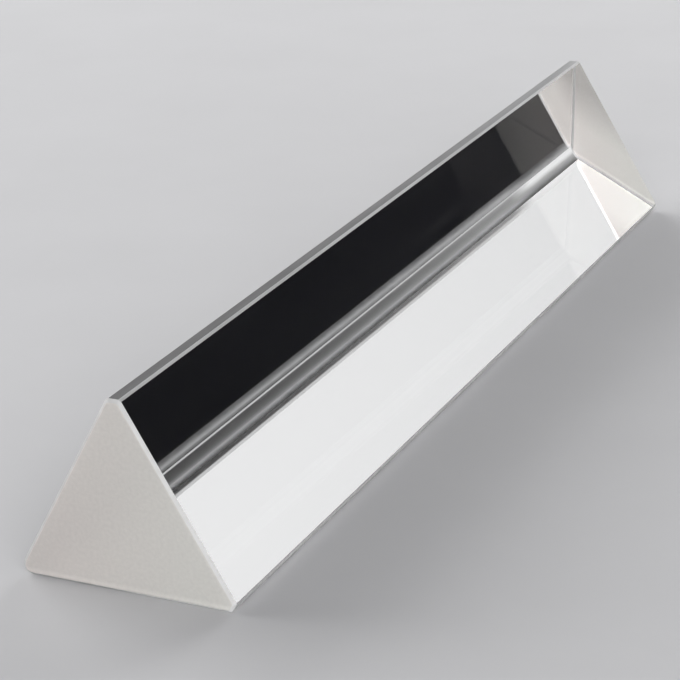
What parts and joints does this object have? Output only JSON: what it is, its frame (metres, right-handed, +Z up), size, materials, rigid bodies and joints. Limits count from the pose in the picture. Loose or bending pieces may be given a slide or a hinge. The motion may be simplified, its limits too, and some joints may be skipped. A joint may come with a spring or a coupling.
{
  "type": "glass prism",
  "caption": "Equilateral bar prism of clear optical glass, with polished long faces, frosted ends and narrow ground edges, that bends light and splits it into colours.",
  "frame": {"origin": "on the base, straight under the refracting edge, half-way along the bar", "axes": "+Y along the bar, from the end in front to the end at the back; +Z up, from the base to the refracting edge; +X to the right seen from the front"},
  "size_m": [0.0285, 0.15, 0.0244],
  "materials": {
    "optical_glass": "clear and polished on the long faces, fine-ground and frosted on the ends, the edge flats and the end arrises"
  },
  "bodies": {
    "root": {"glass_prism": "optical_glass"}
  },
  "joints": []
}
